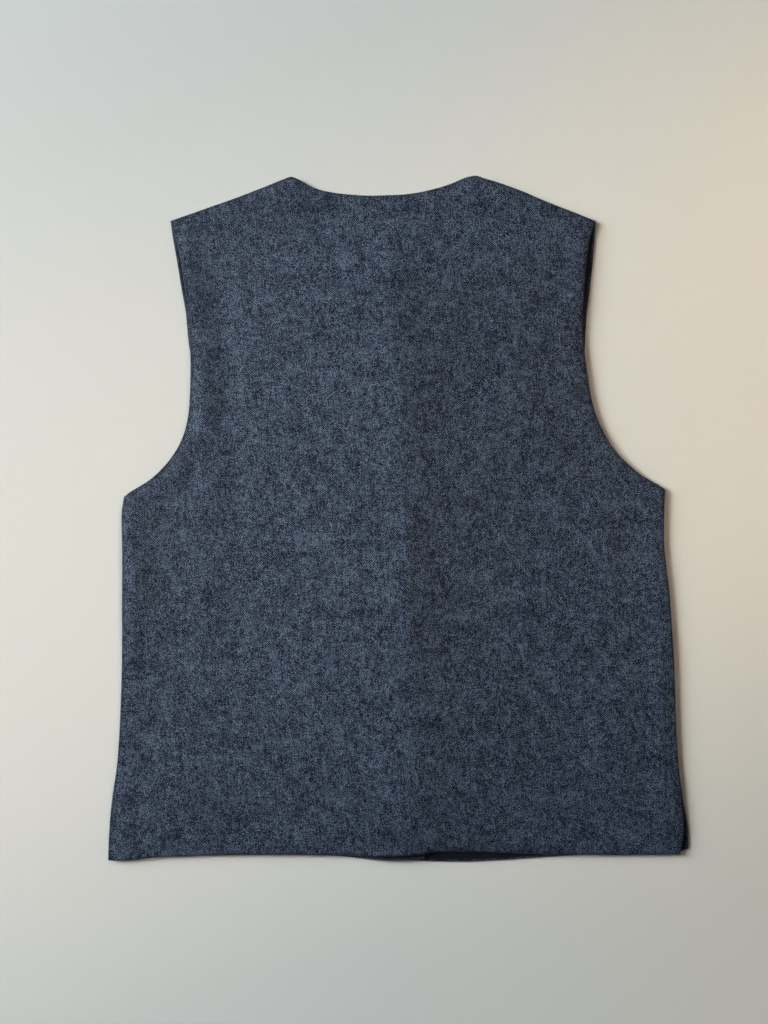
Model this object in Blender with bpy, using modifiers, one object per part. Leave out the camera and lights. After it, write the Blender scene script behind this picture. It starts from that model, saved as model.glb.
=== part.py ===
"""A suit waistcoat laid flat with its back uppermost.

The back lies over two fronts that lap at the button line, and five buttons face the surface.
Metres, Z up: X runs across the garment, Y from hem to neck, and z = 0 is the surface under it.
Every size and table below is in millimetres; heights are taken from the lowest point of the hem.
"""

import math

import bmesh
import bpy
import numpy as np

MM = 0.001

# Cloth
CLOTH = 1.4  # outer cloth, interlining and facing together
GAP = 0.3  # between pieces at a seam
LENGTH = 632.4  # lowest hem to the higher neck point
FULLNESS = 1.1  # how far the back stands off the fronts, inside its edges
EDGE_ROLL = 19.0  # distance over which the back rolls down to its edges
LAP = 14.0  # each front's edge beyond the button line
LAP_RISE = 2.15  # climb of the left front over the right one: a thickness and a loose gap
CREST = 10.6  # rise of the back to the soft ridge over the lapped edges
CREST_LEFT = 166.0  # width of the slope up to it
CREST_RIGHT = 138.0  # reach of the slope away from it, high up
CREST_RIGHT_LOW = 84.0  # and low down
CREST_ROUND = 0.02
SEAM_RIDGE = 0.8  # turnings inside the edges lift the cloth over them
SEAM_DIP = 0.9  # and it sinks again beyond them
NESTLE = 0.8  # smoothing where the back settles onto the layer below
LAYER_GAP = 0.6  # between the back and the fronts where it lies on them
NECK_DIP = 1.3  # the back's neck between the shoulder seams, nearer the surface

# Buttons
BUTTON_RADIUS = 8.0
BUTTON_THICK = 2.5
BUTTON_DISH = 0.6
BUTTON_RIM = 1.8
BUTTON_HEIGHTS = (498, 393, 288, 183, 78)
SHANK_RADIUS = 1.1
THREAD_HOLE = 0.8
THREAD_OFFSET = 1.7
HOLE_LONG = 19.0
HOLE_WIDE = 3.2
BUTTON_ROOM = BUTTON_THICK + 0.4  # lift of the fronts over the buttons
ROOM_FLAT = 9.0
ROOM_FALL = 24.0

# Side seams of the back.  Columns: left height, left edge, right height, right edge.
BACK_SIDE = (
    (1.6, -267.5, 7.4, 259.0),
    (20, -267.0, 24, 262.5),
    (61, -263.8, 60, 260.5),
    (89, -259.4, 90, 257.6),
    (112, -257.8, 112, 256.2),
    (158, -255.6, 158, 254.8),
    (241, -254.6, 241, 250.0),
    (297, -254.6, 300, 244.4),
    (325, -254.6, 330, 244.8),
    (338, -252.7, 344.7, 245.6),
)

# Armholes of the back, from the underarm up.  Columns as above.
BACK_ARMHOLE = (
    (338, -252.7, 344.7, 245.6),
    (352, -229.6, 352, 231.0),
    (366, -214.8, 366, 212.0),
    (380, -204.7, 380, 198.2),
    (394, -198.2, 394, 189.9),
    (408, -194.5, 408, 183.4),
    (430, -192.2, 430, 177.0),
    (449, -191.7, 449, 174.0),
    (477, -192.4, 477, 170.4),
    (505, -193.6, 505, 169.8),
    (532, -197.4, 532, 171.2),
    (560, -202.0, 560, 173.7),
    (579, -206.6, 579, 177.4),
    (590.4, -210.2, 590.4, 181.6),
)

# Side seams of the fronts.  Columns: left height, left edge, right height, right edge.
FRONT_SIDE = (
    (0.6, -265.0, 11.8, 266.6),
    (20, -266.6, 24, 267.0),
    (61, -263.4, 60, 261.4),
    (89, -259.0, 90, 257.8),
    (112, -257.6, 112, 256.2),
    (158, -255.6, 158, 254.8),
    (241, -254.6, 241, 250.0),
    (297, -254.6, 300, 244.4),
    (325, -254.6, 330, 244.8),
    (338, -252.7, 344.7, 245.6),
)

# Armholes of the fronts: cut deeper than the back's below, and showing past it above.
FRONT_ARMHOLE = (
    (338, -252.7, 344.7, 245.6),
    (352, -226.0, 352, 227.0),
    (366, -209.0, 366, 206.0),
    (380, -198.6, 380, 192.0),
    (394, -192.0, 394, 183.6),
    (408, -188.4, 408, 177.4),
    (430, -187.4, 430, 172.4),
    (449, -188.8, 449, 170.4),
    (477, -193.6, 477, 171.6),
    (505, -196.4, 505, 173.4),
    (532, -201.0, 532, 176.4),
    (560, -205.6, 560, 179.2),
    (579, -208.8, 579, 180.8),
    (590.4, -210.2, 590.4, 181.6),
)

# Shoulder seams and back neck.  Columns: distance across, height.
TOP_LINE = (
    (-210.2, 590.4),
    (-185.0, 599.4),
    (-150.0, 611.8),
    (-122.0, 622.6),
    (-105.8, 629.2),
    (-99.3, 631.2),
    (-91.0, 628.3),
    (-83.6, 623.9),
    (-76.2, 620.8),
    (-61.4, 617.2),
    (-46.7, 615.4),
    (-17.0, 614.5),
    (5.0, 615.4),
    (19.9, 617.4),
    (34.7, 621.0),
    (49.4, 625.6),
    (64.2, 631.4),
    (71.6, 632.4),
    (79.0, 630.0),
    (93.8, 625.4),
    (108.6, 620.0),
    (130.7, 610.8),
    (160.3, 599.2),
    (181.6, 590.4),
)

# Hems.  Columns: distance across, height.
BACK_HEM = (
    (-267.5, 1.6),
    (-250.0, 1.2),
    (-232.0, 3.6),
    (-190.0, 5.8),
    (-130.0, 6.8),
    (-60.0, 6.2),
    (-20.0, 5.6),
    (4.0, 6.2),
    (26.0, 8.8),
    (60.0, 9.6),
    (110.0, 8.0),
    (150.0, 6.8),
    (190.0, 6.6),
    (235.0, 6.8),
    (259.0, 7.4),
)
LEFT_HEM = (
    (-265.0, 0.6),
    (-240.0, 4.4),
    (-190.0, 7.6),
    (-90.0, 7.4),
    (-54.0, 4.8),
    (-22.0, 1.8),
    (2.0, 1.2),
    (24.0, 3.0),
)
RIGHT_HEM = (
    (-4.0, 2.2),
    (25.0, 0.4),
    (62.0, 0.0),
    (96.0, 1.4),
    (130.0, 3.8),
    (180.0, 6.2),
    (235.0, 7.0),
    (255.0, 8.0),
    (266.6, 11.8),
)

# Line the buttons stand on.  Columns: height, distance across.
BUTTON_LINE = (
    (0, 10.0),
    (29, 9.0),
    (112, 2.6),
    (195, -0.6),
    (292, -2.6),
    (389, -8.0),
    (518, -16.0),
    (632, -22.0),
)

# Neckline of the fronts above the lap.  Columns: height, left front's edge, right front's edge.
FRONT_NECK = (
    (505, -1.2, -29.2),
    (513, -6.0, -24.5),
    (545, -31.5, 2.0),
    (590, -68.0, 38.5),
    (620, -91.5, 61.5),
    (630, -99.3, 71.6),
)

# Largest soft folds of the back.  Columns: start across, start height, end across, end height,
# half width, rise.
FOLDS = (
    (-184, 470, -170, 320, 12, 1.3),
    (-158, 540, -148, 350, 16, -0.7),
    (-180, 330, -174, 170, 16, 0.9),
    (-204, 250, -202, 110, 14, -0.7),
    (-250, 56, -178, 42, 11, 0.9),
    (-186, 20, -72, 52, 10, -0.9),
    (-2, 545, 4, 340, 20, 0.7),
    (150, 400, 162, 480, 22, -0.6),
    (178, 330, 200, 240, 20, 0.9),
    (128, 190, 164, 84, 26, -1.0),
    (-30, 588, 96, 574, 16, -0.5),
    (-150, 566, -70, 584, 15, -0.6),
)

# Places where the back's edge stands off the front below it.  Columns as above.
LIFTS = (
    (-202, 580, -192, 480, 13, 1.7),
    (-246, 340, -248, 190, 24, 1.9),
    (176, 576, 168, 490, 12, 1.3),
)

# Placing of the sections.  Fractions of the way along the hem or the top line.
BACK_ACROSS_HEM = (
    0, 0.02, 0.06, 0.11, 0.16, 0.21, 0.26, 0.31, 0.35, 0.385, 0.41, 0.43, 0.445, 0.46, 0.475,
    0.49, 0.505, 0.52, 0.535, 0.55, 0.565, 0.58, 0.60, 0.625, 0.66, 0.70, 0.745, 0.79, 0.84,
    0.89, 0.94, 0.98, 1,
)
BACK_ACROSS_TOP = (
    0, 0.025, 0.065, 0.11, 0.16, 0.21, 0.25, 0.268, 0.283, 0.304, 0.323, 0.342, 0.365, 0.39,
    0.42, 0.45, 0.48, 0.51, 0.54, 0.57, 0.60, 0.625, 0.663, 0.70, 0.719, 0.738, 0.776, 0.81,
    0.855, 0.90, 0.94, 0.975, 1,
)
FRONT_ACROSS = (
    0, 0.03, 0.10, 0.19, 0.29, 0.39, 0.49, 0.58, 0.66, 0.73, 0.78, 0.81, 0.83, 0.85, 0.87,
    0.89, 0.91, 0.93, 0.955, 0.98, 1,
)
SIDE_STEPS = (0, 0.03, 0.08, 0.15, 0.23, 0.32, 0.42, 0.52, 0.62, 0.72, 0.82, 0.91, 0.97, 1)
ARMHOLE_STEPS = (
    0.03, 0.065, 0.105, 0.15, 0.20, 0.27, 0.35, 0.43, 0.51, 0.58, 0.65, 0.73, 0.82, 0.90, 0.96, 1,
)


def smooth_between(table, at, column=1, key=0):
    """Smooth curve through one column of a table, read at the given places."""
    rows = np.array(table, dtype=float)
    places = rows[:, key]
    values = rows[:, column]
    slopes = np.gradient(values, places)
    at = np.clip(np.asarray(at, dtype=float), places[0], places[-1])
    below = np.clip(np.searchsorted(places, at, side="right") - 1, 0, len(places) - 2)
    span = places[below + 1] - places[below]
    part = (at - places[below]) / span
    start = values[below] * (1 + 2 * part) * (1 - part) ** 2
    end = values[below + 1] * (3 - 2 * part) * part**2
    lean_start = slopes[below] * span * part * (1 - part) ** 2
    lean_end = slopes[below + 1] * span * part**2 * (part - 1)
    return start + end + lean_start + lean_end


def ease(start, end, value):
    """0 before start, 1 after end, smooth between; the ends may be given in either order."""
    part = np.clip((value - start) / (end - start), 0, 1)
    return part * part * (3 - 2 * part)


def button_line(height):
    return smooth_between(BUTTON_LINE, height)


def left_lap_edge(height):
    """Free edge of the left front: its lap, then its neckline."""
    lap = button_line(height) + LAP
    return np.where(height < FRONT_NECK[0][0], lap, smooth_between(FRONT_NECK, height, 1))


def right_lap_edge(height):
    """Free edge of the right front: its lap, then its neckline."""
    lap = button_line(height) - LAP
    return np.where(height < FRONT_NECK[0][0], lap, smooth_between(FRONT_NECK, height, 2))


def side_line(side, armhole, which):
    """Points up one edge of a panel, from the hem corner to the shoulder tip."""
    key = 2 * which
    low, corner = side[0][key], side[-1][key]
    tip = armhole[-1][key]
    side_heights = low + (corner - low) * np.array(SIDE_STEPS)
    arm_heights = corner + (tip - corner) * np.array(ARMHOLE_STEPS)
    side_across = smooth_between(side, side_heights, key + 1, key)
    arm_across = smooth_between(armhole, arm_heights, key + 1, key)
    across = np.concatenate((side_across, arm_across))
    return np.stack((across, np.concatenate((side_heights, arm_heights))), axis=1)


def lap_line(edge, hem_height, neck_height):
    """Points up the free edge of a front, from the hem to the neck point."""
    corner = FRONT_SIDE[-1][0]
    side_heights = hem_height + (corner - hem_height) * np.array(SIDE_STEPS)
    neck_heights = corner + (neck_height - corner) * np.array(ARMHOLE_STEPS)
    heights = np.concatenate((side_heights, neck_heights))
    return np.stack((edge(heights), heights), axis=1)


def across_line(table, start, end, fractions):
    """Points along a hem or top line between two distances across."""
    across = start + (end - start) * np.array(fractions)
    return np.stack((across, smooth_between(table, across)), axis=1)


def spread(left, right, hem, top):
    """Fill the outline made by four edges with sections; returns rows of (across, height)."""
    rise = (left[:, 1] - left[0, 1]) / (left[-1, 1] - left[0, 1])
    reach_hem = (hem[:, 0] - hem[0, 0]) / (hem[-1, 0] - hem[0, 0])
    reach_top = (top[:, 0] - top[0, 0]) / (top[-1, 0] - top[0, 0])
    v = rise[:, None, None]
    u = (reach_hem * (1 - rise[:, None]) + reach_top * rise[:, None])[:, :, None]
    between_ends = (1 - v) * hem[None] + v * top[None]
    between_sides = (1 - u) * left[:, None] + u * right[:, None]
    low = (1 - u) * hem[0] + u * hem[-1]
    high = (1 - u) * top[0] + u * top[-1]
    return between_ends + between_sides - (1 - v) * low - v * high


def button_room(across, height):
    """Lift of the fronts over the row of buttons."""
    off = np.abs(across - button_line(height))
    along = ease(14, 62, height) * ease(560, 514, height)
    return BUTTON_ROOM * ease(ROOM_FLAT + ROOM_FALL, ROOM_FLAT, off) * along


def right_front_under(across, height):
    return button_room(across, height)


def left_front_under(across, height):
    """The left front rides over the right one's edge."""
    over = right_lap_edge(height)
    rise = ease(over - 30, over - 10, across)
    return button_room(across, height) + LAP_RISE * rise


def fold_rise(across, height, folds):
    """Sum of the soft folds at a place on the back."""
    total = np.zeros_like(across)
    for start_x, start_y, end_x, end_y, half, rise in folds:
        run = np.array((end_x - start_x, end_y - start_y), dtype=float)
        long = float(np.hypot(*run))
        run /= long
        along = (across - start_x) * run[0] + (height - start_y) * run[1]
        off = (across - start_x) * run[1] - (height - start_y) * run[0]
        fade = ease(-0.15 * long, 0.3 * long, along) * ease(1.15 * long, 0.7 * long, along)
        total += rise * fade * np.exp(-((off / half) ** 2))
    return total


def fronts_top(across, height):
    """Upper side of whichever front lies higher; nothing inside the neckline."""
    over = right_lap_edge(height)
    edge = left_lap_edge(height)
    left = ease(edge + 9, edge + 1.5, across) * (left_front_under(across, height) + CLOTH)
    right = ease(over - 9, over - 1.5, across) * (button_room(across, height) + CLOTH)
    return np.maximum(left, right)


def crest_rise(across, height):
    """Tent of the back over the lap: a long slope up to its ridge, and a hollower one away."""
    off = across - button_line(height) - LAP + 3
    up = 1 + off / CREST_LEFT
    foot = 0.5 * (up + np.sqrt(up * up + 0.03))
    reach = CREST_RIGHT + (CREST_RIGHT_LOW - CREST_RIGHT) * ease(440, 290, height)
    reach = reach + 50 * ease(240, 90, height)
    down = np.exp(-np.maximum(off, -40) / reach)
    top = -CREST_ROUND * np.log(np.exp(-foot / CREST_ROUND) + np.exp(-down / CREST_ROUND))
    along = (0.62 + 0.38 * ease(-30, 220, height)) * (1 - 0.86 * ease(520, 606, height))
    return CREST * top * along


def back_under(across, height, inset):
    """Underside of the back: tented over the lap, full inside its edges, low at them."""
    within = 1 - np.exp(-inset / EDGE_ROLL)
    seam = SEAM_RIDGE * np.exp(-(((inset - 9) / 7) ** 2))
    beyond = SEAM_DIP * np.exp(-(((inset - 30) / 14) ** 2))
    full = FULLNESS + fold_rise(across, height, FOLDS) + seam - beyond
    middle = np.exp(-(((across + 14) / 52) ** 2)) * ease(572, 618, height)
    tented = CLOTH + GAP + (full + crest_rise(across, height)) * within - NECK_DIP * middle
    tented = tented + fold_rise(across, height, LIFTS)
    rest = fronts_top(across, height) + LAYER_GAP
    blend = NESTLE * within + 0.000001
    lap = np.maximum(blend - np.abs(tented - rest), 0)
    return np.maximum(tented, rest) + lap * lap / (4 * blend)


def edge_inset(places):
    """Distance of each place from the nearest outer edge of its panel."""
    across = places[:, :, 0]
    height = places[:, :, 1]
    to_left = across - across[:, :1]
    to_right = across[:, -1:] - across
    to_hem = height - height[:1]
    to_top = height[-1:] - height
    return np.minimum(np.minimum(to_left, to_right), np.minimum(to_hem, to_top))


def new_collection(name):
    made = bpy.data.collections.new(name)
    bpy.context.scene.collection.children.link(made)
    return made


def new_object(name, mesh, collection):
    made = bpy.data.objects.new(name, mesh)
    collection.objects.link(made)
    return made


def plain_material(name, colour, roughness):
    made = bpy.data.materials.new(name)
    made.use_nodes = True
    shader = made.node_tree.nodes["Principled BSDF"]
    shader.inputs["Base Color"].default_value = (*colour, 1)
    shader.inputs["Roughness"].default_value = roughness
    shader.inputs["Metallic"].default_value = 0
    made.diffuse_color = (*colour, 1)
    return made


def cloth_panel(name, places, under, material, collection):
    """Lofts a sheet through its sections, and thickens it upwards to the cloth's wall."""
    rows, columns = under.shape
    across = places[:, :, 0] * MM
    along = (places[:, :, 1] - LENGTH / 2) * MM
    points = np.stack((across, along, under * MM), axis=2).reshape(-1, 3)
    faces = []
    for row in range(rows - 1):
        for column in range(columns - 1):
            corner = row * columns + column
            faces.append((corner, corner + 1, corner + columns + 1, corner + columns))
    mesh = bpy.data.meshes.new(name)
    mesh.from_pydata(points.tolist(), [], faces)
    mesh.materials.append(material)
    made = new_object(name, mesh, collection)
    wall = made.modifiers.new("Cloth", "SOLIDIFY")
    wall.thickness = CLOTH * MM
    wall.offset = 1
    wall.use_even_offset = True
    return made


def round_bar(target, centre, radius, low, high, segments):
    """Adds an upright cylinder to a mesh under construction, in millimetres."""
    made = bmesh.ops.create_cone(
        target, cap_ends=True, segments=segments, radius1=radius, radius2=radius, depth=high - low
    )
    move = (centre[0], centre[1], (low + high) / 2)
    bmesh.ops.translate(target, verts=made["verts"], vec=move)


def block(target, centre, size):
    """Adds a box to a mesh under construction, in millimetres."""
    made = bmesh.ops.create_cube(target, size=1)
    bmesh.ops.scale(target, verts=made["verts"], vec=size)
    bmesh.ops.translate(target, verts=made["verts"], vec=centre)


def finish_cutter(name, target, collection):
    bmesh.ops.scale(target, verts=target.verts, vec=(MM, MM, MM))
    mesh = bpy.data.meshes.new(name)
    target.to_mesh(mesh)
    target.free()
    made = new_object(name, mesh, collection)
    made.hide_render = True
    made.display_type = "WIRE"
    return made


def cut(target, cutter):
    made = target.modifiers.new("Cut", "BOOLEAN")
    made.operation = "DIFFERENCE"
    made.solver = "EXACT"
    made.object = cutter


def button_places():
    """Distance across and distance along the garment of each button, in millimetres."""
    heights = np.array(BUTTON_HEIGHTS, dtype=float)
    return np.stack((button_line(heights), heights - LENGTH / 2), axis=1)


def button_body(name, place, shank_top, material, collection):
    """A dished button face down on the surface, with its thread shank above it."""
    soft = 0.5
    outline = (
        (0, BUTTON_DISH),
        (BUTTON_RADIUS - BUTTON_RIM - 0.6, BUTTON_DISH),
        (BUTTON_RADIUS - BUTTON_RIM, 0.15),
        (BUTTON_RADIUS - BUTTON_RIM + 0.4, 0),
        (BUTTON_RADIUS - soft, 0),
        (BUTTON_RADIUS, soft),
        (BUTTON_RADIUS, BUTTON_THICK - soft),
        (BUTTON_RADIUS - soft, BUTTON_THICK),
        (SHANK_RADIUS, BUTTON_THICK),
        (SHANK_RADIUS, shank_top),
        (0, shank_top),
    )
    points = [(across * MM, 0, up * MM) for across, up in outline]
    mesh = bpy.data.meshes.new(name)
    mesh.from_pydata(points, [(step, step + 1) for step in range(len(points) - 1)], [])
    mesh.materials.append(material)
    made = new_object(name, mesh, collection)
    made.location = (place[0] * MM, place[1] * MM, 0)
    turn = made.modifiers.new("Turned", "SCREW")
    turn.axis = "Z"
    turn.angle = 2 * math.pi
    turn.steps = 28
    turn.render_steps = 28
    turn.use_merge_vertices = True
    turn.merge_threshold = 0.00001
    turn.use_normal_calculate = True
    return made


def button_hole_cutter(collection):
    """Slots in the right front for the shanks, running away from its free edge."""
    target = bmesh.new()
    for across, along in button_places():
        centre = (across + HOLE_LONG / 2 - HOLE_WIDE / 2, along, 2)
        block(target, centre, (HOLE_LONG, HOLE_WIDE, 20))
    return finish_cutter("buttonhole_cutter", target, collection)


def thread_hole_cutter(collection):
    """Four thread holes part way into the face of each button."""
    target = bmesh.new()
    for across, along in button_places():
        for side in (-THREAD_OFFSET, THREAD_OFFSET):
            for end in (-THREAD_OFFSET, THREAD_OFFSET):
                round_bar(target, (across + side, along + end), THREAD_HOLE, -1, 1.9, 8)
    return finish_cutter("thread_hole_cutter", target, collection)


def build():
    for old in list(bpy.data.objects):
        bpy.data.objects.remove(old)
    garment = new_collection("suit_waistcoat")
    cutters = new_collection("cutters")
    back_cloth = plain_material("back_suiting", (0.036, 0.051, 0.072), 0.92)
    front_cloth = plain_material("front_suiting", (0.034, 0.048, 0.068), 0.92)
    button_stuff = plain_material("button", (0.028, 0.027, 0.028), 0.42)

    back_places = spread(
        side_line(BACK_SIDE, BACK_ARMHOLE, 0),
        side_line(BACK_SIDE, BACK_ARMHOLE, 1),
        across_line(BACK_HEM, BACK_HEM[0][0], BACK_HEM[-1][0], BACK_ACROSS_HEM),
        across_line(TOP_LINE, TOP_LINE[0][0], TOP_LINE[-1][0], BACK_ACROSS_TOP),
    )
    under = back_under(back_places[:, :, 0], back_places[:, :, 1], edge_inset(back_places))
    cloth_panel("back_panel", back_places, under, back_cloth, garment)

    left_neck = FRONT_NECK[-1][1]
    left_end = float(button_line(0)) + LAP
    left_places = spread(
        side_line(FRONT_SIDE, FRONT_ARMHOLE, 0),
        lap_line(left_lap_edge, LEFT_HEM[-1][1], FRONT_NECK[-1][0]),
        across_line(LEFT_HEM, LEFT_HEM[0][0], left_end, FRONT_ACROSS),
        across_line(TOP_LINE, TOP_LINE[0][0], left_neck, FRONT_ACROSS),
    )
    under = left_front_under(left_places[:, :, 0], left_places[:, :, 1])
    cloth_panel("left_front", left_places, under, front_cloth, garment)

    right_neck = FRONT_NECK[-1][2]
    right_start = float(button_line(0)) - LAP
    mirrored = [1 - part for part in reversed(FRONT_ACROSS)]
    right_places = spread(
        lap_line(right_lap_edge, RIGHT_HEM[0][1], FRONT_NECK[-1][0]),
        side_line(FRONT_SIDE, FRONT_ARMHOLE, 1),
        across_line(RIGHT_HEM, right_start, RIGHT_HEM[-1][0], mirrored),
        across_line(TOP_LINE, right_neck, TOP_LINE[-1][0], mirrored),
    )
    under = right_front_under(right_places[:, :, 0], right_places[:, :, 1])
    right = cloth_panel("right_front", right_places, under, front_cloth, garment)
    cut(right, button_hole_cutter(cutters))

    holes = thread_hole_cutter(cutters)
    shank_top = BUTTON_ROOM + CLOTH
    for number, place in enumerate(button_places(), start=1):
        button = button_body(f"button_{number}", place, shank_top, button_stuff, garment)
        cut(button, holes)


build()
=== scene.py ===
"""Looks of a suit waistcoat laid flat with its back uppermost.

The back lies over two fronts lapped at the button line, and five buttons face the surface.
Tables and sizes are in millimetres; heights are taken from the lowest point of the hem.
"""

import math

import bmesh
import bpy
import numpy as np
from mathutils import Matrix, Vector, kdtree, noise


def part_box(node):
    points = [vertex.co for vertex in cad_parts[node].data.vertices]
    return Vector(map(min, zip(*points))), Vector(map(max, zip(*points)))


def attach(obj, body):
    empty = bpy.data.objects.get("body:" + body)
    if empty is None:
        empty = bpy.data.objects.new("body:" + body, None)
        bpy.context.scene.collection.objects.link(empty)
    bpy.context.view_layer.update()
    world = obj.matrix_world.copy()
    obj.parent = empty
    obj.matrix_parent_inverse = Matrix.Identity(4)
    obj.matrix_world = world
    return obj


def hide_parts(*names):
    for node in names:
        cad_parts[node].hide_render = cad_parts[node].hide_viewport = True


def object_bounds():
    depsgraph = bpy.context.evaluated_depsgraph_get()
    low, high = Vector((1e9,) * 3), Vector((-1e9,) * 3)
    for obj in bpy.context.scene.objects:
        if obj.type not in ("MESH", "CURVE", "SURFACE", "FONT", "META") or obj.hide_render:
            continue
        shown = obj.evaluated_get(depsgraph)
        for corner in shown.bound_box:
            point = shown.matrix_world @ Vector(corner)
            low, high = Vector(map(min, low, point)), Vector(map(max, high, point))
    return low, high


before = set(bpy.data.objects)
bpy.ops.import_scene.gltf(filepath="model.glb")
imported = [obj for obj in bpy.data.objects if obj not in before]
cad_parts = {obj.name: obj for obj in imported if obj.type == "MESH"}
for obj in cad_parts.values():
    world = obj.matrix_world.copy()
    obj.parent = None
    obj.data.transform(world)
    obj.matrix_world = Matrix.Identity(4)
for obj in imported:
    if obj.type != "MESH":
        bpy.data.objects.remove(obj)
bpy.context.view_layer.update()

MM = 0.001

# Cloth
CLOTH = 1.4
GAP = 0.3
LENGTH = 632.4
FULLNESS = 1.1
EDGE_ROLL = 19.0
LAP = 14.0
LAP_RISE = 2.15
CREST = 10.6
CREST_LEFT = 166.0
CREST_RIGHT = 138.0
CREST_RIGHT_LOW = 84.0
CREST_FOOT_LOW = 50.0  # further reach of that slope at the hem
CREST_ROUND = 0.02
CREST_FOOT_ROUND = 0.03
CREST_SHIFT = 3.0  # the ridge lies this far inside the lapped edge
CREST_HEM = 0.62  # share of the rise that is left at the hem
CREST_NECK = 0.14  # and at the neck
SEAM_RIDGE = 0.8
SEAM_RIDGE_AT = 9.0  # from the edge, and its half width
SEAM_RIDGE_WIDE = 7.0
SEAM_DIP = 0.9
SEAM_DIP_AT = 30.0
SEAM_DIP_WIDE = 14.0
NESTLE = 0.8
LAYER_GAP = 0.6
NECK_DIP = 1.3
NECK_DIP_AT = -14.0
NECK_DIP_WIDE = 52.0
LIP = 1.1  # distance over which a folded edge rounds off
EDGE_WAVER = 0.35  # unevenness of the pressed edges

# Meshes: fractions of a line at which the rows crowd near the hem, the corner and the shoulder
HEM_CROWD = 0.0032
SHOULDER_CROWD = 0.0045
CORNER_BELOW = 0.985
CORNER_ABOVE = 0.012
CORNER_LAST = 0.995
BACK_CROWD = 0.0026
FRONT_CROWD = 0.004
CROWDED_AT = (0.15, 0.4, 0.75, 1.2, 1.9, 3.0)
CROWD_ENDS = 4.6
BACK_ROWS = (96, 84)  # up the side seam and up the armhole
BACK_COLUMNS = 178
FRONT_ROWS = (84, 70)
FRONT_COLUMNS = 110

# Buttons
BUTTON_THICK = 2.5
BUTTONS = 5
BUTTON_ROOM = BUTTON_THICK + 0.4
ROOM_FLAT = 9.0
ROOM_FALL = 24.0
THREAD_BARS = (-1.7, 1.7)  # the two bars of thread, from the middle of the button
BAR_STRANDS = (-0.32, 0.0, 0.32)
STRAND_RADIUS = 0.2
CUTTER_SPAN = (-0.01, 0.03)  # from below the surface to above the garment, in metres
STITCH_OUT = 0.7  # the stitches' path, wider than the hole
STITCH_DROP = 0.1

# Threads set along a path, in millimetres and radians.
# Columns: spacing, length, rise, radius, turn, unevenness, sides, steps.
STITCHES = (0.5, 1.5, -0.12, 0.16, 0.1, 0.2, 5, 4)
NAP = (0.32, 2.0, 0.5, 0.035, 3.1, 0.7, 3, 3)
STITCH_SEED = 3

# Upper half of a buttonhole.
# Columns: distance from the shank, half width, how far a wider outline leans out along the hole.
HOLE_SHAPE = (
    (-1.6, 0.0, -1.0),
    (-1.35, 0.85, -0.7),
    (-0.8, 1.38, -0.3),
    (0.0, 1.55, 0.0),
    (2.5, 1.45, 0.0),
    (6.0, 1.05, 0.0),
    (11.0, 0.7, 0.0),
    (15.6, 0.5, 0.0),
    (16.9, 0.3, 0.6),
    (17.2, 0.0, 1.0),
)

# Thread between two holes of a button.  Columns: distance across, height.
THREAD_SAG = (
    (-1.7, 1.1),
    (-1.6, 0.55),
    (-1.1, 0.32),
    (0.0, 0.26),
    (1.1, 0.32),
    (1.6, 0.55),
    (1.7, 1.1),
)

# Side seams and armholes of the back.
# Columns: left height, left edge, right height, right edge.
BACK_SIDE = (
    (1.6, -267.5, 7.4, 259.0),
    (20, -267.0, 24, 262.5),
    (61, -263.8, 60, 260.5),
    (89, -259.4, 90, 257.6),
    (112, -257.8, 112, 256.2),
    (158, -255.6, 158, 254.8),
    (241, -254.6, 241, 250.0),
    (297, -254.6, 300, 244.4),
    (325, -254.6, 330, 244.8),
    (338, -252.7, 344.7, 245.6),
)
BACK_ARMHOLE = (
    (338, -252.7, 344.7, 245.6),
    (352, -229.6, 352, 231.0),
    (366, -214.8, 366, 212.0),
    (380, -204.7, 380, 198.2),
    (394, -198.2, 394, 189.9),
    (408, -194.5, 408, 183.4),
    (430, -192.2, 430, 177.0),
    (449, -191.7, 449, 174.0),
    (477, -192.4, 477, 170.4),
    (505, -193.6, 505, 169.8),
    (532, -197.4, 532, 171.2),
    (560, -202.0, 560, 173.7),
    (579, -206.6, 579, 177.4),
    (590.4, -210.2, 590.4, 181.6),
)

# Side seams and armholes of the fronts.  Columns as above.
FRONT_SIDE = (
    (0.6, -265.0, 11.8, 266.6),
    (20, -266.6, 24, 267.0),
    (61, -263.4, 60, 261.4),
    (89, -259.0, 90, 257.8),
    (112, -257.6, 112, 256.2),
    (158, -255.6, 158, 254.8),
    (241, -254.6, 241, 250.0),
    (297, -254.6, 300, 244.4),
    (325, -254.6, 330, 244.8),
    (338, -252.7, 344.7, 245.6),
)
FRONT_ARMHOLE = (
    (338, -252.7, 344.7, 245.6),
    (352, -226.0, 352, 227.0),
    (366, -209.0, 366, 206.0),
    (380, -198.6, 380, 192.0),
    (394, -192.0, 394, 183.6),
    (408, -188.4, 408, 177.4),
    (430, -187.4, 430, 172.4),
    (449, -188.8, 449, 170.4),
    (477, -193.6, 477, 171.6),
    (505, -196.4, 505, 173.4),
    (532, -201.0, 532, 176.4),
    (560, -205.6, 560, 179.2),
    (579, -208.8, 579, 180.8),
    (590.4, -210.2, 590.4, 181.6),
)

# Shoulder seams and back neck.  Columns: distance across, height.
TOP_LINE = (
    (-210.2, 590.4),
    (-185.0, 599.4),
    (-150.0, 611.8),
    (-122.0, 622.6),
    (-105.8, 629.2),
    (-99.3, 631.2),
    (-91.0, 628.3),
    (-83.6, 623.9),
    (-76.2, 620.8),
    (-61.4, 617.2),
    (-46.7, 615.4),
    (-17.0, 614.5),
    (5.0, 615.4),
    (19.9, 617.4),
    (34.7, 621.0),
    (49.4, 625.6),
    (64.2, 631.4),
    (71.6, 632.4),
    (79.0, 630.0),
    (93.8, 625.4),
    (108.6, 620.0),
    (130.7, 610.8),
    (160.3, 599.2),
    (181.6, 590.4),
)

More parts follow.
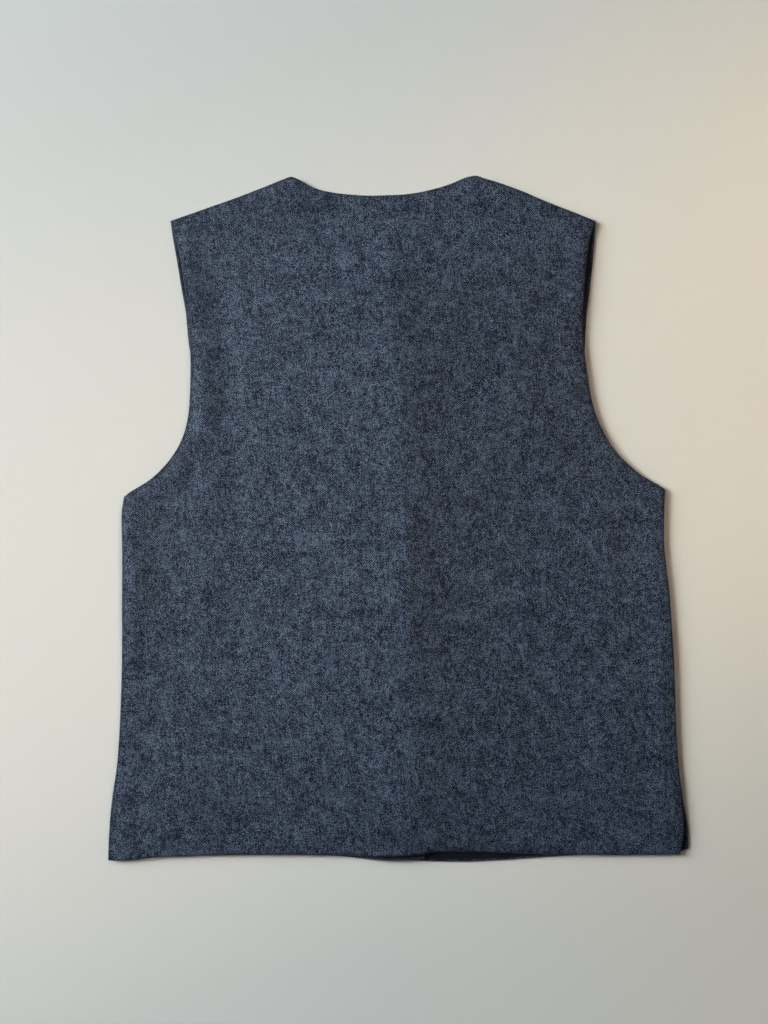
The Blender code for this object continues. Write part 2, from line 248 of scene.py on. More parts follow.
# Hems.  Columns: distance across, height.
BACK_HEM = (
    (-267.5, 1.6),
    (-250.0, 1.2),
    (-232.0, 3.6),
    (-190.0, 5.8),
    (-130.0, 6.8),
    (-60.0, 6.2),
    (-20.0, 5.6),
    (4.0, 6.2),
    (26.0, 8.8),
    (60.0, 9.6),
    (110.0, 8.0),
    (150.0, 6.8),
    (190.0, 6.6),
    (235.0, 6.8),
    (259.0, 7.4),
)
LEFT_HEM = (
    (-265.0, 0.6),
    (-240.0, 4.4),
    (-190.0, 7.6),
    (-90.0, 7.4),
    (-54.0, 4.8),
    (-22.0, 1.8),
    (2.0, 1.2),
    (24.0, 3.0),
)
RIGHT_HEM = (
    (-4.0, 2.2),
    (25.0, 0.4),
    (62.0, 0.0),
    (96.0, 1.4),
    (130.0, 3.8),
    (180.0, 6.2),
    (235.0, 7.0),
    (255.0, 8.0),
    (266.6, 11.8),
)

# Line the buttons stand on.  Columns: height, distance across.
BUTTON_LINE = (
    (0, 10.0),
    (29, 9.0),
    (112, 2.6),
    (195, -0.6),
    (292, -2.6),
    (389, -8.0),
    (518, -16.0),
    (632, -22.0),
)

# Neckline of the fronts above the lap.  Columns: height, left front's edge, right front's edge.
FRONT_NECK = (
    (505, -1.2, -29.2),
    (513, -6.0, -24.5),
    (545, -31.5, 2.0),
    (590, -68.0, 38.5),
    (620, -91.5, 61.5),
    (630, -99.3, 71.6),
)

# Soft folds of the back, uneven in length, depth and spacing.
# Columns: start across, start height, end across, end height, half width, rise.
FOLDS = (
    (-184, 470, -170, 320, 12, 1.3),
    (-158, 540, -148, 350, 16, -0.7),
    (-180, 330, -174, 170, 16, 0.9),
    (-204, 250, -202, 110, 14, -0.7),
    (-250, 56, -178, 42, 11, 0.9),
    (-186, 20, -72, 52, 10, -0.9),
    (-2, 545, 4, 340, 20, 0.7),
    (150, 400, 162, 480, 22, -0.6),
    (178, 330, 200, 240, 20, 0.9),
    (128, 190, 164, 84, 26, -1.0),
    (-30, 588, 96, 574, 16, -0.5),
    (-150, 566, -70, 584, 15, -0.6),
)

# Places where the back's edge stands off the front below it.  Columns as above.
LIFTS = (
    (-202, 580, -192, 480, 13, 1.7),
    (-246, 340, -248, 190, 24, 1.9),
    (176, 576, 168, 490, 12, 1.3),
)


def smooth_between(table, at, column=1, key=0):
    """Smooth curve through one column of a table, read at the given places."""
    rows = np.array(table, dtype=float)
    places = rows[:, key]
    values = rows[:, column]
    slopes = np.gradient(values, places)
    at = np.clip(np.asarray(at, dtype=float), places[0], places[-1])
    below = np.clip(np.searchsorted(places, at, side="right") - 1, 0, len(places) - 2)
    span = places[below + 1] - places[below]
    part = (at - places[below]) / span
    start = values[below] * (1 + 2 * part) * (1 - part) ** 2
    end = values[below + 1] * (3 - 2 * part) * part**2
    lean_start = slopes[below] * span * part * (1 - part) ** 2
    lean_end = slopes[below + 1] * span * part**2 * (part - 1)
    return start + end + lean_start + lean_end


def ease(start, end, value):
    """0 before start, 1 after end, smooth between; the ends may be given in either order."""
    part = np.clip((value - start) / (end - start), 0, 1)
    return part * part * (3 - 2 * part)


def waver(across, height, reach, seed):
    """Smooth unevenness, from -1 to 1, whose swells are about the given reach apart."""
    flat = np.stack((across.ravel(), height.ravel()), axis=1) / reach
    values = [noise.noise(Vector((place[0], place[1], seed))) for place in flat.tolist()]
    return np.array(values).reshape(across.shape)


# Outlines

def button_line(height):
    return smooth_between(BUTTON_LINE, height)


def left_lap_edge(height):
    """Free edge of the left front: its lap, then its neckline."""
    lap = button_line(height) + LAP
    return np.where(height < FRONT_NECK[0][0], lap, smooth_between(FRONT_NECK, height, 1))


def right_lap_edge(height):
    """Free edge of the right front: its lap, then its neckline."""
    lap = button_line(height) - LAP
    return np.where(height < FRONT_NECK[0][0], lap, smooth_between(FRONT_NECK, height, 2))


def crowded(count, lip_share):
    """Fractions from 0 to 1, evenly spread, with extra places just inside both ends."""
    inside = np.array(CROWDED_AT) * lip_share
    middle = np.linspace(CROWD_ENDS * lip_share, 1 - CROWD_ENDS * lip_share, count)
    return np.concatenate(((0,), inside, middle, 1 - inside[::-1], (1,)))


def side_line(side, armhole, which, side_steps, arm_steps):
    """Points up one edge of a panel, from the hem corner to the shoulder tip."""
    key = 2 * which
    low, corner = side[0][key], side[-1][key]
    tip = armhole[-1][key]
    side_heights = low + (corner - low) * side_steps
    arm_heights = corner + (tip - corner) * arm_steps
    side_across = smooth_between(side, side_heights, key + 1, key)
    arm_across = smooth_between(armhole, arm_heights, key + 1, key)
    across = np.concatenate((side_across, arm_across))
    return np.stack((across, np.concatenate((side_heights, arm_heights))), axis=1)


def lap_line(edge, hem_height, neck_height, side_steps, arm_steps):
    """Points up the free edge of a front, from the hem to the neck point."""
    corner = FRONT_SIDE[-1][0]
    side_heights = hem_height + (corner - hem_height) * side_steps
    neck_heights = corner + (neck_height - corner) * arm_steps
    heights = np.concatenate((side_heights, neck_heights))
    return np.stack((edge(heights), heights), axis=1)


def across_line(table, start, end, fractions):
    """Points along a hem or top line between two distances across."""
    across = start + (end - start) * fractions
    return np.stack((across, smooth_between(table, across)), axis=1)


def spread(left, right, hem, top):
    """Fill the outline made by four edges with sections; returns rows of (across, height)."""
    rise = (left[:, 1] - left[0, 1]) / (left[-1, 1] - left[0, 1])
    reach_hem = (hem[:, 0] - hem[0, 0]) / (hem[-1, 0] - hem[0, 0])
    reach_top = (top[:, 0] - top[0, 0]) / (top[-1, 0] - top[0, 0])
    v = rise[:, None, None]
    u = (reach_hem * (1 - rise[:, None]) + reach_top * rise[:, None])[:, :, None]
    between_ends = (1 - v) * hem[None] + v * top[None]
    between_sides = (1 - u) * left[:, None] + u * right[:, None]
    low = (1 - u) * hem[0] + u * hem[-1]
    high = (1 - u) * top[0] + u * top[-1]
    return between_ends + between_sides - (1 - v) * low - v * high


def rows_up(count_side, count_arm):
    """Fractions up the side seam and up the armhole, crowded at the hem and the shoulder."""
    both = crowded(count_side, HEM_CROWD)
    side = both[both < CORNER_BELOW]
    arm = crowded(count_arm, SHOULDER_CROWD)
    arm = arm[arm > CORNER_ABOVE]
    return np.concatenate((side, (CORNER_LAST,))), arm


# Layers

def button_room(across, height):
    """Lift of the fronts over the row of buttons."""
    off = np.abs(across - button_line(height))
    along = ease(14, 62, height) * ease(560, 514, height)
    return BUTTON_ROOM * ease(ROOM_FLAT + ROOM_FALL, ROOM_FLAT, off) * along


def left_front_under(across, height):
    """The left front rides over the right one's edge."""
    over = right_lap_edge(height)
    rise = ease(over - 30, over - 10, across)
    return button_room(across, height) + LAP_RISE * rise


def fold_rise(across, height, folds):
    """Sum of the soft folds at a place on the back."""
    total = np.zeros_like(across)
    for start_x, start_y, end_x, end_y, half, rise in folds:
        run = np.array((end_x - start_x, end_y - start_y), dtype=float)
        long = float(np.hypot(*run))
        run /= long
        along = (across - start_x) * run[0] + (height - start_y) * run[1]
        off = (across - start_x) * run[1] - (height - start_y) * run[0]
        fade = ease(-0.15 * long, 0.3 * long, along) * ease(1.15 * long, 0.7 * long, along)
        total += rise * fade * np.exp(-((off / half) ** 2))
    return total


def fronts_top(across, height):
    """Upper side of whichever front lies higher; nothing inside the neckline."""
    over = right_lap_edge(height)
    edge = left_lap_edge(height)
    left = ease(edge + 9, edge + 1.5, across) * (left_front_under(across, height) + CLOTH)
    right = ease(over - 9, over - 1.5, across) * (button_room(across, height) + CLOTH)
    return np.maximum(left, right)


def crest_rise(across, height):
    """Tent of the back over the lap: a long slope up to its ridge, and a hollower one away."""
    off = across - button_line(height) - LAP + CREST_SHIFT
    up = 1 + off / CREST_LEFT
    foot = 0.5 * (up + np.sqrt(up * up + CREST_FOOT_ROUND))
    reach = CREST_RIGHT + (CREST_RIGHT_LOW - CREST_RIGHT) * ease(440, 290, height)
    reach = reach + CREST_FOOT_LOW * ease(240, 90, height)
    down = np.exp(-np.maximum(off, -40) / reach)
    top = -CREST_ROUND * np.log(np.exp(-foot / CREST_ROUND) + np.exp(-down / CREST_ROUND))
    from_hem = CREST_HEM + (1 - CREST_HEM) * ease(-30, 220, height)
    to_neck = 1 - (1 - CREST_NECK) * ease(520, 606, height)
    return CREST * top * from_hem * to_neck


def back_under(across, height, inset):
    """Underside of the back: tented over the lap, full inside its edges, low at them."""
    within = 1 - np.exp(-inset / EDGE_ROLL)
    seam = SEAM_RIDGE * np.exp(-(((inset - SEAM_RIDGE_AT) / SEAM_RIDGE_WIDE) ** 2))
    beyond = SEAM_DIP * np.exp(-(((inset - SEAM_DIP_AT) / SEAM_DIP_WIDE) ** 2))
    strength = 1 + 0.6 * waver(across, height, 90, 5.3)
    uneven = 0.3 * waver(across, height, 46, 3.1) + 0.16 * waver(across, height, 21, 7.7)
    full = FULLNESS + uneven + fold_rise(across, height, FOLDS) + (seam - beyond) * strength
    middle = np.exp(-(((across - NECK_DIP_AT) / NECK_DIP_WIDE) ** 2)) * ease(572, 618, height)
    tented = CLOTH + GAP + (full + crest_rise(across, height)) * within - NECK_DIP * middle
    tented = tented + fold_rise(across, height, LIFTS)
    rest = fronts_top(across, height) + LAYER_GAP
    blend = NESTLE * within + 0.000001
    lap = np.maximum(blend - np.abs(tented - rest), 0)
    return np.maximum(tented, rest) + lap * lap / (4 * blend)


def outline_of(places):
    """The panel's border, once round."""
    return np.concatenate((places[0], places[1:, -1], places[-1, -2::-1], places[-2:0:-1, 0]))


def unsteady(places):
    """The panel's outline and inside shifted together a little, as pressed cloth lies."""
    across, height = places[:, :, 0], places[:, :, 1]
    shift = (waver(across, height, 30, 11.3), waver(across, height, 26, 17.9))
    return places + EDGE_WAVER * np.stack(shift, axis=2)


def edge_distance(places):
    """Distance of every place from the panel's border."""
    border = outline_of(places)
    ahead = np.roll(border, -1, axis=0)
    dense = np.concatenate([border + (ahead - border) * part for part in (0, 0.25, 0.5, 0.75)])
    tree = kdtree.KDTree(len(dense))
    for number, point in enumerate(dense):
        tree.insert((point[0], point[1], 0), number)
    tree.balance()
    flat = places.reshape(-1, 2)
    found = [tree.find((place[0], place[1], 0))[2] for place in flat]
    return np.array(found).reshape(places.shape[:2])


def cloth_shell(name, node, places, middle, distance, finish):
    """A shell with rounded edges about a middle surface, set in its node's place in the frame."""
    rows, columns = middle.shape
    lip = np.clip(distance / LIP, 0, 1)
    half = CLOTH / 2 * np.sqrt(np.clip(1 - (1 - lip) ** 2, 0, 1))
    low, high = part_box(node)
    frame_middle = (low[0] + high[0]) / 2
    own_middle = (places[:, :, 0].min() + places[:, :, 0].max()) / 2 * MM
    across = places[:, :, 0] * MM + frame_middle - own_middle
    along = (places[:, :, 1] - places[:, :, 1].min()) * MM + low[1]
    upper = np.stack((across, along, (middle + half) * MM), axis=2).reshape(-1, 3)
    lower = np.stack((across, along, (middle - half) * MM), axis=2)
    inner = lower[1:-1, 1:-1].reshape(-1, 3)
    top_index = np.arange(rows * columns).reshape(rows, columns)
    under_index = top_index.copy()
    count = (rows - 2) * (columns - 2)
    under_index[1:-1, 1:-1] = rows * columns + np.arange(count).reshape(rows - 2, columns - 2)
    faces = []
    for index, order in ((top_index, (0, 1, 2, 3)), (under_index, (3, 2, 1, 0))):
        corners = np.stack(
            (index[:-1, :-1], index[:-1, 1:], index[1:, 1:], index[1:, :-1]), axis=2
        ).reshape(-1, 4)
        faces.append(corners[:, order])
    mesh = bpy.data.meshes.new(name)
    points = np.concatenate((upper, inner))
    mesh.from_pydata(points.tolist(), [], np.concatenate(faces).tolist())
    grain = mesh.uv_layers.new(name="grain")
    lean = smooth_between(BUTTON_LINE, places[:, :, 1])
    warp = (places[:, :, 0] - lean).reshape(-1)
    weft = places[:, :, 1].reshape(-1)
    inner_places = places[1:-1, 1:-1]
    inner_lean = lean[1:-1, 1:-1]
    warp = np.concatenate((warp, (inner_places[:, :, 0] - inner_lean).reshape(-1) + 7.3))
    weft = np.concatenate((weft, inner_places[:, :, 1].reshape(-1)))
    corner_points = np.empty(len(mesh.loops), dtype=np.int64)
    mesh.loops.foreach_get("vertex_index", corner_points)
    woven = np.stack((warp[corner_points], weft[corner_points]), axis=1) * MM
    grain.data.foreach_set("uv", woven.ravel())
    rim = mesh.attributes.new("rim", "FLOAT", "POINT")
    rim.data.foreach_set("value", np.concatenate((distance.ravel(), distance[1:-1, 1:-1].ravel())))
    inside = mesh.attributes.new("inside", "FLOAT", "POINT")
    inside.data.foreach_set("value", [1.0] * len(upper) + [0.0] * len(inner))
    mesh.polygons.foreach_set("use_smooth", [True] * len(mesh.polygons))
    mesh.materials.append(finish)
    made = bpy.data.objects.new(name, mesh)
    bpy.context.scene.collection.objects.link(made)
    return made, upper[outline_of(top_index)]


# Finishes

class Value:
    """A shader value that ordinary arithmetic can be written with."""

    def __init__(self, finish, socket):
        self.finish = finish
        self.socket = socket

    def maths(self, operation, *operands):
        settings = {"operation": operation}
        return self.finish.node("ShaderNodeMath", settings, dict(enumerate(operands)))

    def __add__(self, other):
        return self.maths("ADD", self, other)

    def __radd__(self, other):
        return self.maths("ADD", other, self)

    def __sub__(self, other):
        return self.maths("SUBTRACT", self, other)

    def __rsub__(self, other):
        return self.maths("SUBTRACT", other, self)

    def __mul__(self, other):
        return self.maths("MULTIPLY", self, other)

    def __rmul__(self, other):
        return self.maths("MULTIPLY", other, self)

    def __truediv__(self, other):
        return self.maths("DIVIDE", self, other)

    def sine(self):
        return self.maths("SINE", self)

    def floor(self):
        return self.maths("FLOOR", self)

    def between(self, low, high):
        """0 at low, 1 at high, held at both ends."""
        values = {"Value": self, "From Min": low, "From Max": high}
        return self.finish.node("ShaderNodeMapRange", {"clamp": True}, values)


class Finish:
    """A material under construction."""

    def __init__(self, name):
        self.material = bpy.data.materials.new(name)
        self.material.use_nodes = True
        self.tree = self.material.node_tree
        self.shader = self.tree.nodes["Principled BSDF"]

    def node(self, kind, settings=None, values=None, output=0):
        """Adds a node, its settings first, then its sockets' values or links."""
        made = self.tree.nodes.new(kind)
        for key, value in (settings or {}).items():
            setattr(made, key, value)
        for key, value in (values or {}).items():
            if isinstance(value, Value):
                self.tree.links.new(value.socket, made.inputs[key])
            else:
                made.inputs[key].default_value = value
        return Value(self, made.outputs[output])

    def feed(self, name, value):
        """Links a value to the shader, or sets it there."""
        if isinstance(value, Value):
            self.tree.links.new(value.socket, self.shader.inputs[name])
        else:
            self.shader.inputs[name].default_value = value

    def mixed(self, share, first, second):
        """A colour between two others."""
        values = {0: share, 6: first, 7: second}
        return self.node("ShaderNodeMix", {"data_type": "RGBA"}, values, output=2)

    def place(self, x, y, z=0.0):
        return self.node("ShaderNodeCombineXYZ", None, {"X": x, "Y": y, "Z": z})

    def mottle(self, where, scale, detail=2.0, rough=0.5):
        values = {"Vector": where, "Scale": scale, "Detail": detail, "Roughness": rough}
        return self.node("ShaderNodeTexNoise", None, values)


PITCH = 0.56  # warp threads are this far apart
WALE = 4 * PITCH  # one repeat of the two-and-two twill across the warp


# Contrast of each unevenness of the twill
CLOUD = 3.1
PATCH = 1.6
DRIFT = 0.4
YARN = 0.9
PICK = 0.6
FLECK = 3.3
RIB = 1.0
MEANDER = 9.0  # how far the ribs wander, in radians

# Depths from the edge, in millimetres
# The first pair gives painted shade: the cloth darkens towards its rolled edges, from 3.4 mm in to
# 0.2 mm at the border.
RIM_PAINTED_SHADE = (3.4, 0.2)
LINING_AND_SHADE_FROM = (1.5, 2.2)

# Lining of the fronts' inner faces. It is a real dark lining, but it is made near black so that it
# also serves as painted shade in the gap under the back's edge at the armholes and the hem.
LINING_AND_SHADE_DARK = (0.0010, 0.0018, 0.0050, 1)
LINING_AND_SHADE_PALE = (0.0050, 0.0075, 0.0160, 1)


def suiting(name, dark, middle, pale, shift, lined_and_shaded):
    """Wool twill of dark and pale blue-grey yarns, milled to a short soft nap."""
    made = Finish(name)
    grain = made.node("ShaderNodeUVMap", {"uv_map": "grain"})
    split = made.node("ShaderNodeSeparateXYZ", None, {0: grain})
    weft = made.node("ShaderNodeSeparateXYZ", None, {0: grain}, output=1)
    warp = split * 1000 + shift
    weft = weft * 1000
    rising = warp + weft
    falling = warp - weft
    wander = made.mottle(made.place(warp / 7, weft / 9), 1.0, 2.0) * MEANDER
    drift_across = made.mottle(made.place(warp / 6, weft / 8, 5.0), 1.0, 2.0) * MEANDER
    ends = (warp * (2 * math.pi / WALE) + wander).sine()
    picks = (weft * (2 * math.pi / (WALE * 0.97)) + drift_across).sine()
    rib = ends * picks
    fleck_up = made.mottle(made.place(rising / 0.9, falling / 2.4), 1.0, 0.0)
    fleck_down = made.mottle(made.place(falling / 0.9, rising / 2.4, 9.0), 1.0, 0.0)
    yarn = made.mottle(made.place(warp / 0.8, weft / 14), 1.0, 1.0)
    pick = made.mottle(made.place(warp / 12, weft / 0.85, 4.0), 1.0, 1.0)
    cloud = made.mottle(made.place(warp / 4.4, weft / 5.2), 1.0, 3.0, 0.6)
    patch = made.mottle(made.place(warp / 13, weft / 17, 7.0), 1.0, 2.0)
    drift = made.mottle(made.place(warp / 60, weft / 80, 2.0), 1.0, 2.0)
    ground = (
        0.5
        + (cloud - 0.5) * CLOUD
        + (patch - 0.5) * PATCH
        + (drift - 0.5) * DRIFT
        + (yarn - 0.5) * YARN
        + (pick - 0.5) * PICK
    )
    tone = ground + rib * RIB + (fleck_up - 0.5) * FLECK + (fleck_down - 0.5) * FLECK
    deep = made.mixed(tone.between(0.0, 0.62), dark, middle)
    colour = made.mixed(tone.between(0.5, 1.2), deep, pale)
    rim = made.node("ShaderNodeAttribute", {"attribute_name": "rim"}, output=2)
    # Painted shade along the rolled edges: near the border the colour goes up to half way to the
    # darkest yarn.
    colour = made.mixed(rim.between(*RIM_PAINTED_SHADE) * 0.5, colour, dark)
    if lined_and_shaded:
        # The fronts' inner faces turn to the lining from 1.5 to 2.2 mm in from the edge. Its
        # near-black tone is partly lining and partly painted shade.
        inside = made.node("ShaderNodeAttribute", {"attribute_name": "inside"}, output=2)
        twist = made.mottle(made.place(warp / 0.7, weft / 9), 1.0, 1.0)
        lining_and_shade = made.mixed(twist, LINING_AND_SHADE_DARK, LINING_AND_SHADE_PALE)
        colour = made.mixed(inside * rim.between(*LINING_AND_SHADE_FROM), colour, lining_and_shade)
    made.feed("Base Color", colour)
    made.feed("Roughness", 0.62)
    made.feed("Specular IOR Level", 0.3)
    made.feed("Sheen Weight", 0.12)
    made.feed("Sheen Roughness", 0.5)
    made.feed("Sheen Tint", (0.75, 0.82, 0.95, 1))
    height = tone * 0.6 + rib * 0.4
    bump = {"Strength": 0.35, "Distance": 0.0003, "Height": height}
    made.feed("Normal", made.node("ShaderNodeBump", None, bump))
    return made.material


def horn(name):
    """Dark horn: brown-black, faintly streaked, polished to a satin."""
    made = Finish(name)
    where = made.node("ShaderNodeTexCoord", output=3)
    split_x = made.node("ShaderNodeSeparateXYZ", None, {0: where})
    split_y = made.node("ShaderNodeSeparateXYZ", None, {0: where}, output=1)
    streak = made.mottle(made.place(split_x * 900, split_y * 240), 1.0, 3.0)
    dark = (0.012, 0.010, 0.009, 1)
    warm = (0.060, 0.045, 0.034, 1)
    made.feed("Base Color", made.mixed(streak.between(0.35, 0.7), dark, warm))
    made.feed("Roughness", 0.32 + streak * 0.2)
    return made.material


def thread(name, dark, pale):
    """Soft thread or fibre in two tones of the cloth's colour."""
    made = Finish(name)
    where = made.node("ShaderNodeTexCoord", output=3)
    tone = made.mottle(where, 900, 1.0)
    made.feed("Base Color", made.mixed(tone.between(0.35, 0.65), dark, pale))
    made.feed("Roughness", 0.8)
    return made.material


def pale_surface(name):
    """A pale matte surface under the garment, with painted warm light towards one side."""
    made = Finish(name)
    where = made.node("ShaderNodeTexCoord", output=3)
    across = made.node("ShaderNodeSeparateXYZ", None, {0: where})
    grain = made.mottle(where, 2.2, 3.0)
    cool = (0.73, 0.75, 0.76, 1)
    warm = (0.84, 0.79, 0.71, 1)
    # Painted warm light: the surface turns warmer over the first 0.42 m towards the right, with a
    # random mottle mixed in.
    side = across.between(0.0, 0.42) * 0.8 + (grain - 0.5) * 0.4
    made.feed("Base Color", made.mixed(side.between(0, 1), cool, warm))
    made.feed("Roughness", 0.7)
    return made.material


# Pieces

def make_back(finish):
    side_steps, arm_steps = rows_up(*BACK_ROWS)
    across = crowded(BACK_COLUMNS, BACK_CROWD)
    places = unsteady(spread(
        side_line(BACK_SIDE, BACK_ARMHOLE, 0, side_steps, arm_steps),
        side_line(BACK_SIDE, BACK_ARMHOLE, 1, side_steps, arm_steps),
        across_line(BACK_HEM, BACK_HEM[0][0], BACK_HEM[-1][0], across),
        across_line(TOP_LINE, TOP_LINE[0][0], TOP_LINE[-1][0], across),
    ))
    distance = edge_distance(places)
    under = back_under(places[:, :, 0], places[:, :, 1], distance)
    return cloth_shell(
        "back_cloth", "back_panel", places, under + CLOTH / 2, distance, finish
    )


def make_left_front(finish):
    side_steps, arm_steps = rows_up(*FRONT_ROWS)
    across = crowded(FRONT_COLUMNS, FRONT_CROWD)
    neck = FRONT_NECK[-1]
    places = unsteady(spread(
        side_line(FRONT_SIDE, FRONT_ARMHOLE, 0, side_steps, arm_steps),
        lap_line(left_lap_edge, LEFT_HEM[-1][1], neck[0], side_steps, arm_steps),
        across_line(LEFT_HEM, LEFT_HEM[0][0], float(button_line(0)) + LAP, across),
        across_line(TOP_LINE, TOP_LINE[0][0], neck[1], across),
    ))
    distance = edge_distance(places)
    under = left_front_under(places[:, :, 0], places[:, :, 1])
    return cloth_shell(
        "left_front_cloth", "left_front", places, under + CLOTH / 2, distance, finish
    )


def settle(piece):
    """Leaves the piece a plain mesh of what its modifiers make."""
    depsgraph = bpy.context.evaluated_depsgraph_get()
    mesh = bpy.data.meshes.new_from_object(piece.evaluated_get(depsgraph))
    mesh.name = piece.name
    piece.modifiers.clear()
    piece.data = mesh


def hole_outline(wider):
    """A buttonhole round its shank: wide at the button and narrowing away from it."""
    upper = [
        (across + wider * lean, half + wider * (1 - abs(lean))) for across, half, lean in HOLE_SHAPE
    ]
    lower = [(across, -half) for across, half in reversed(upper[1:-1])]
    return upper + lower


def hole_places():
    """Where each shank stands, in the frame."""
    boxes = [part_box(f"button_{number + 1}") for number in range(BUTTONS)]
    return [((low[0] + high[0]) / 2, (low[1] + high[1]) / 2) for low, high in boxes]


def open_buttonholes(piece):
    """Opens the five buttonholes in a front."""
    shape = bmesh.new()
    for across, along in hole_places():
        rings = []
        for up in CUTTER_SPAN:
            rings.append([
                shape.verts.new((across + x * MM, along + y * MM, up)) for x, y in hole_outline(0)
            ])
        count = len(rings[0])
        shape.faces.new(rings[0])
        shape.faces.new(rings[1][::-1])
        for step in range(count):
            ahead = (step + 1) % count
            shape.faces.new((rings[1][step], rings[1][ahead], rings[0][ahead], rings[0][step]))
    mesh = bpy.data.meshes.new("buttonholes")
    shape.to_mesh(mesh)
    shape.free()
    cutter = bpy.data.objects.new("buttonholes", mesh)
    bpy.context.scene.collection.objects.link(cutter)
    cut = piece.modifiers.new("Opened", "BOOLEAN")
    cut.operation = "DIFFERENCE"
    cut.solver = "EXACT"
    cut.object = cutter
    settle(piece)
    bpy.data.objects.remove(cutter)


LEAN = 0.4  # share of a thread's rise and turn that goes sideways


def thread_tree():
    """Short threads set along a path: Geometry Nodes shared by the stitches and the nap."""
    tree = bpy.data.node_groups.new("threads_along_a_path", "GeometryNodeTree")
    tree.interface.new_socket("Geometry", in_out="INPUT", socket_type="NodeSocketGeometry")
    for label in ("Spacing", "Long", "Rise", "Radius", "Turn", "Uneven"):
        tree.interface.new_socket(label, in_out="INPUT", socket_type="NodeSocketFloat")
    for label in ("Sides", "Steps", "Seed"):
        tree.interface.new_socket(label, in_out="INPUT", socket_type="NodeSocketInt")
    tree.interface.new_socket("Thread", in_out="INPUT", socket_type="NodeSocketMaterial")
    tree.interface.new_socket("Geometry", in_out="OUTPUT", socket_type="NodeSocketGeometry")
    entry = tree.nodes.new("NodeGroupInput").outputs

    def node(kind, settings=None, values=None):
        made = tree.nodes.new(kind)
        for key, value in (settings or {}).items():
            setattr(made, key, value)
        for key, value in (values or {}).items():
            if isinstance(value, bpy.types.NodeSocket):
                tree.links.new(value, made.inputs[key])
            else:
                made.inputs[key].default_value = value
        return made.outputs

    def times(value, other):
        return node("ShaderNodeMath", {"operation": "MULTIPLY"}, {0: value, 1: other})[0]

    path = node("GeometryNodeMeshToCurve", None, {"Mesh": entry["Geometry"]})[0]
    points = node(
        "GeometryNodeResampleCurve", {"mode": "LENGTH"},
        {"Curve": path, "Length": entry["Spacing"]},
    )[0]
    start = node("ShaderNodeCombineXYZ", None, {"X": times(entry["Long"], -0.5)})[0]
    middle = node(
        "ShaderNodeCombineXYZ", None, {"Y": times(entry["Rise"], LEAN), "Z": entry["Rise"]}
    )[0]
    end = node("ShaderNodeCombineXYZ", None, {"X": times(entry["Long"], 0.5)})[0]
    bow = node(
        "GeometryNodeCurveQuadraticBezier", None,
        {"Resolution": entry["Steps"], "Start": start, "Middle": middle, "End": end},
    )[0]
    round_section = node(
        "GeometryNodeCurvePrimitiveCircle", None,
        {"Resolution": entry["Sides"], "Radius": entry["Radius"]},
    )[0]
    thread = node(
        "GeometryNodeCurveToMesh", None,
        {"Curve": bow, "Profile Curve": round_section, "Fill Caps": True},
    )[0]
    tangent = node("GeometryNodeInputTangent")[0]
    square = node(
        "FunctionNodeAlignRotationToVector", {"axis": "Y", "pivot_axis": "Z"}, {"Vector": tangent}
    )[0]
    low_turn = times(entry["Turn"], -1)
    least = node(
        "ShaderNodeCombineXYZ", None,
        {"X": times(low_turn, LEAN), "Y": times(low_turn, LEAN), "Z": low_turn},
    )[0]
    most = node(
        "ShaderNodeCombineXYZ", None,
        {"X": times(entry["Turn"], LEAN), "Y": times(entry["Turn"], LEAN), "Z": entry["Turn"]},
    )[0]
    chance = node(
        "FunctionNodeRandomValue", {"data_type": "FLOAT_VECTOR"},
        {"Min": least, "Max": most, "Seed": entry["Seed"]},
    )[0]
    by = node("FunctionNodeEulerToRotation", None, {"Euler": chance})[0]
    turned = node("FunctionNodeRotateRotation", None, {"Rotation": square, "Rotate By": by})[0]
    spare = node("ShaderNodeMath", {"operation": "SUBTRACT"}, {0: 1.0, 1: entry["Uneven"]})[0]
    size_node = tree.nodes.new("FunctionNodeRandomValue")
    size_node.data_type = "FLOAT"
    tree.links.new(spare, size_node.inputs[2])
    size_node.inputs[3].default_value = 1.0
    tree.links.new(entry["Seed"], size_node.inputs["Seed"])
    placed = node(
        "GeometryNodeInstanceOnPoints", None,
        {"Points": points, "Instance": thread, "Rotation": turned, "Scale": size_node.outputs[1]},
    )[0]
    solid = node("GeometryNodeRealizeInstances", None, {"Geometry": placed})[0]
    final = node("GeometryNodeSetMaterial", None, {"Geometry": solid, "Material": entry["Thread"]})[0]
    leave = tree.nodes.new("NodeGroupOutput")
    tree.links.new(final, leave.inputs["Geometry"])
    return tree


def threads(name, tree, paths, material, make, seed):
    """Threads set along closed paths, as a plain mesh of their own."""
    spacing, long, rise, radius, turn, uneven, sides, steps = make
    points = []
    edges = []
    for path in paths:
        first = len(points)
        count = len(path)
        points.extend(tuple(float(value) for value in point) for point in path)
        edges.extend((first + step, first + (step + 1) % count) for step in range(count))
    mesh = bpy.data.meshes.new(name)
    mesh.from_pydata(points, edges, [])
    mesh.materials.append(material)
    made = bpy.data.objects.new(name, mesh)
    bpy.context.scene.collection.objects.link(made)
    step = made.modifiers.new("Threads", "NODES")
    step.node_group = tree
    given = {
        "Spacing": spacing * MM, "Long": long * MM, "Rise": rise * MM, "Radius": radius * MM,
        "Turn": turn, "Uneven": uneven, "Sides": sides, "Steps": steps, "Seed": seed,
        "Thread": material,
    }
    for item in tree.interface.items_tree:
        if item.in_out == "INPUT" and item.name in given:
            step[item.identifier] = given[item.name]
    settle(made)
    made.data.polygons.foreach_set("use_smooth", [True] * len(made.data.polygons))
    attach(made, "root")
    return made


def buttonhole_paths(under):
    """Paths for the stitches on a front's outer face, a little outside each buttonhole."""
    height = (under - STITCH_DROP) * MM
    return [
        [(across + x * MM, along + y * MM, height) for x, y in hole_outline(STITCH_OUT)]
        for across, along in hole_places()
    ]


